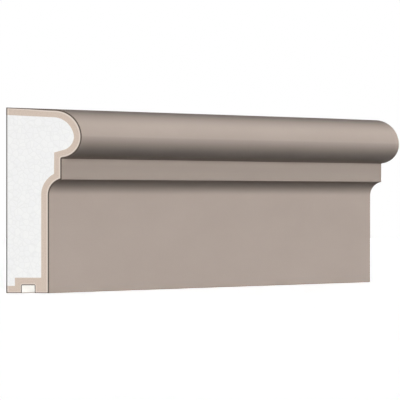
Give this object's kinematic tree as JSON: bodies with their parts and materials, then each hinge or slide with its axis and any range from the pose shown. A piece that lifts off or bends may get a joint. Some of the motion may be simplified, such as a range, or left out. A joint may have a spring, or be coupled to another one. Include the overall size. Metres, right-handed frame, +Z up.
{
  "type": "facade moulding",
  "caption": "Straight length of coated foam facade moulding with a sloping top, half-round nose, flat band, cove and plain face, a drip groove in its underside and a bare flat back.",
  "frame": {"origin": "under the middle of the box: halfway along, halfway between the wall face and the front of the nose, level with the underside", "axes": "+X along the length, -Y out of the wall towards the front, +Z up as the moulding is fixed"},
  "size_m": [2, 0.0616, 0.15],
  "materials": {
    "foam": "fused foam beads, cut",
    "mineral_coat": "fine sanded, matte"
  },
  "bodies": {
    "root": {"foam_core": "foam", "coating_shell": "mineral_coat"}
  },
  "joints": []
}
